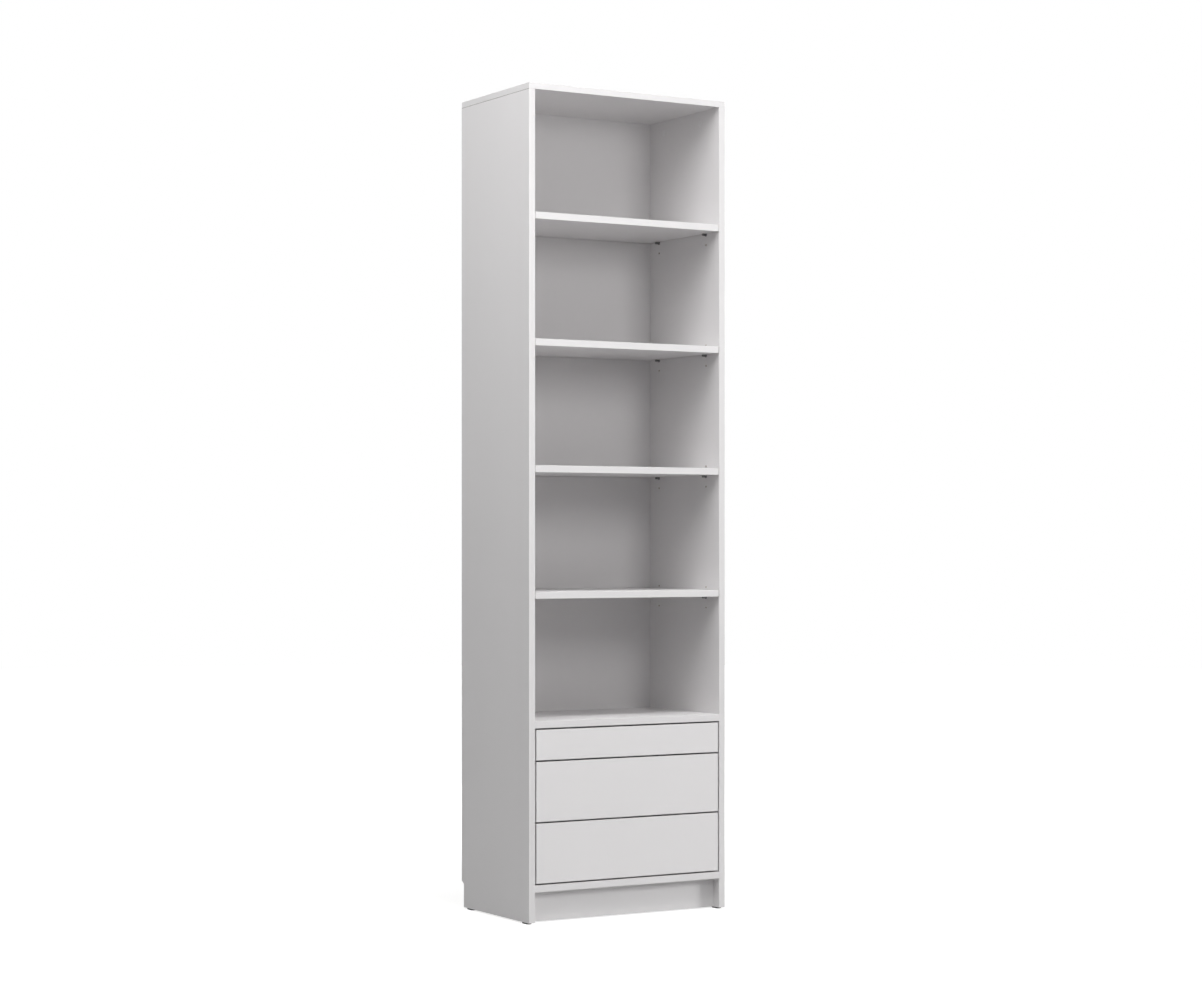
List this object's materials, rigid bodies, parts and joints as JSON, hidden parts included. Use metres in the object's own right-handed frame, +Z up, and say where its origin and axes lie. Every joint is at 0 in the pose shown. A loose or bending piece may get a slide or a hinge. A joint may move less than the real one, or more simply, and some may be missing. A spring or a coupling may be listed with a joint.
{
  "type": "bookcase with bottom drawers",
  "caption": "Tall narrow white bookcase: open compartments with loose shelves over flush handleless push-open drawers on ball-bearing slides, set-back plinth and low glides.",
  "frame": {"origin": "on the floor, at the middle of the bookcase's footprint", "axes": "+Z up; the front with the drawers faces -Y; +X is on the right as seen from the front"},
  "size_m": [0.6, 0.37, 2.16],
  "materials": {
    "white_board": "white melamine-faced chipboard, satin, with matching edging",
    "drawer_board": "white foil-wrapped chipboard, satin",
    "back_board": "thin hardboard, white lacquered, matt",
    "zinc_steel": "zinc plated, semi-bright",
    "beech": "bare beech",
    "black_plastic": "matt black",
    "grey_plastic": "matt grey",
    "white_plastic": "matt white"
  },
  "bodies": {
    "carcass": {"back_nails": "zinc_steel", "back_panel": "back_board", "bottom_panel": "white_board", "cabinet_rails": "zinc_steel", "cabinet_screws": "zinc_steel", "cam_bolts": "zinc_steel", "cam_caps": "white_plastic", "cam_locks": "zinc_steel", "deck_panel": "white_board", "dowels": "beech", "glides": "black_plastic", "left_side_panel": "white_board", "plinth_board": "white_board", "push_housings": "grey_plastic", "push_springs": "zinc_steel", "right_side_panel": "white_board", "shelf_1": "white_board", "shelf_2": "white_board", "shelf_3": "white_board", "shelf_4": "white_board", "shelf_pins": "zinc_steel", "top_panel": "white_board"},
    "top_drawer": {"top_drawer_back": "drawer_board", "top_drawer_base": "back_board", "top_drawer_cams": "zinc_steel", "top_drawer_dowels": "beech", "top_drawer_front": "white_board", "top_drawer_left_side": "drawer_board", "top_drawer_rails": "zinc_steel", "top_drawer_right_side": "drawer_board", "top_rail_screws": "zinc_steel"},
    "top_slides": {"top_ball_cages": "zinc_steel", "top_middle_rails": "zinc_steel"},
    "top_pushers": {"top_push_plungers": "grey_plastic"},
    "middle_drawer": {"middle_drawer_back": "drawer_board", "middle_drawer_base": "back_board", "middle_drawer_cams": "zinc_steel", "middle_drawer_dowels": "beech", "middle_drawer_front": "white_board", "middle_drawer_left_side": "drawer_board", "middle_drawer_rails": "zinc_steel", "middle_drawer_right_side": "drawer_board", "middle_rail_screws": "zinc_steel"},
    "middle_slides": {"middle_ball_cages": "zinc_steel", "middle_middle_rails": "zinc_steel"},
    "middle_pushers": {"middle_push_plungers": "grey_plastic"},
    "bottom_drawer": {"bottom_drawer_back": "drawer_board", "bottom_drawer_base": "back_board", "bottom_drawer_cams": "zinc_steel", "bottom_drawer_dowels": "beech", "bottom_drawer_front": "white_board", "bottom_drawer_left_side": "drawer_board", "bottom_drawer_rails": "zinc_steel", "bottom_drawer_right_side": "drawer_board", "bottom_rail_screws": "zinc_steel"},
    "bottom_slides": {"bottom_ball_cages": "zinc_steel", "bottom_middle_rails": "zinc_steel"},
    "bottom_pushers": {"bottom_push_plungers": "grey_plastic"}
  },
  "joints": [
    {"name": "top_drawer_slide", "type": "slide", "parent": "carcass", "child": "top_drawer", "axis": [0, -1, 0], "range_m": [-0.003, 0.3]},
    {"name": "top_rails_slide", "type": "slide", "parent": "carcass", "child": "top_slides", "axis": [0, -1, 0], "range_m": [-0.0016, 0.1505]},
    {"name": "top_pusher_slide", "type": "slide", "parent": "carcass", "child": "top_pushers", "axis": [0, -1, 0], "range_m": [-0.0002, 0.0152]},
    {"name": "middle_drawer_slide", "type": "slide", "parent": "carcass", "child": "middle_drawer", "axis": [0, -1, 0], "range_m": [-0.003, 0.3]},
    {"name": "middle_rails_slide", "type": "slide", "parent": "carcass", "child": "middle_slides", "axis": [0, -1, 0], "range_m": [-0.0016, 0.1505]},
    {"name": "middle_pusher_slide", "type": "slide", "parent": "carcass", "child": "middle_pushers", "axis": [0, -1, 0], "range_m": [-0.0002, 0.0152]},
    {"name": "bottom_drawer_slide", "type": "slide", "parent": "carcass", "child": "bottom_drawer", "axis": [0, -1, 0], "range_m": [-0.003, 0.3]},
    {"name": "bottom_rails_slide", "type": "slide", "parent": "carcass", "child": "bottom_slides", "axis": [0, -1, 0], "range_m": [-0.0016, 0.1505]},
    {"name": "bottom_pusher_slide", "type": "slide", "parent": "carcass", "child": "bottom_pushers", "axis": [0, -1, 0], "range_m": [-0.0002, 0.0152]}
  ],
  "couplings": [
    {"joint": "top_rails_slide", "follows": "top_drawer_slide", "ratio": 0.5},
    {"joint": "top_pusher_slide", "follows": "top_drawer_slide", "ratio": 0.05},
    {"joint": "middle_rails_slide", "follows": "middle_drawer_slide", "ratio": 0.5},
    {"joint": "middle_pusher_slide", "follows": "middle_drawer_slide", "ratio": 0.05},
    {"joint": "bottom_rails_slide", "follows": "bottom_drawer_slide", "ratio": 0.5},
    {"joint": "bottom_pusher_slide", "follows": "bottom_drawer_slide", "ratio": 0.05}
  ]
}
